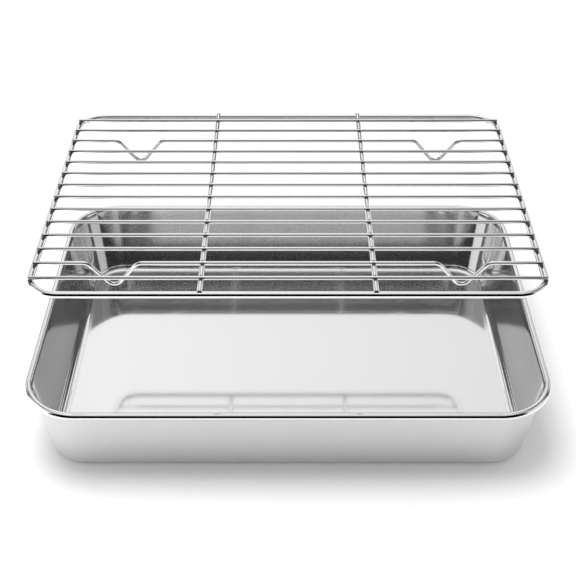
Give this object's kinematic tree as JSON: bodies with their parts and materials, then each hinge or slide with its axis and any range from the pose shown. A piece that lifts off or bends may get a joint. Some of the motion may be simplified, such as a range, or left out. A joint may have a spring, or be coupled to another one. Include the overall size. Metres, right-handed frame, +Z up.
{
  "type": "baking tray with wire rack",
  "caption": "Deep rectangular steel baking tray with rounded corners and a rolled rim, and a lift-out wire rack that stands inside it on V-shaped feet.",
  "frame": {"origin": "on the table under the middle of the tray", "axes": "+X along the tray's long side, +Y towards its back, +Z up"},
  "size_m": [0.315, 0.224, 0.1353],
  "materials": {
    "tray_steel": "polished inside, satin outside",
    "rack_steel": "bright polished wire"
  },
  "bodies": {
    "tray": {"tray_pan": "tray_steel"},
    "rack": {"rack_frame": "rack_steel", "rack_bar_left": "rack_steel", "rack_bar_right": "rack_steel", "foot_wire_front": "rack_steel", "foot_wire_back": "rack_steel", "cross_wire_01": "rack_steel", "cross_wire_03": "rack_steel", "cross_wire_04": "rack_steel", "cross_wire_05": "rack_steel", "cross_wire_06": "rack_steel", "cross_wire_07": "rack_steel", "cross_wire_08": "rack_steel", "cross_wire_09": "rack_steel", "cross_wire_10": "rack_steel", "cross_wire_11": "rack_steel", "cross_wire_13": "rack_steel", "cross_wire_14": "rack_steel"}
  },
  "joints": [
    {"name": "rack_lift", "type": "slide", "parent": "tray", "child": "rack", "axis": [0, 0, 1], "range_m": [-0.1178, 0.05]}
  ]
}
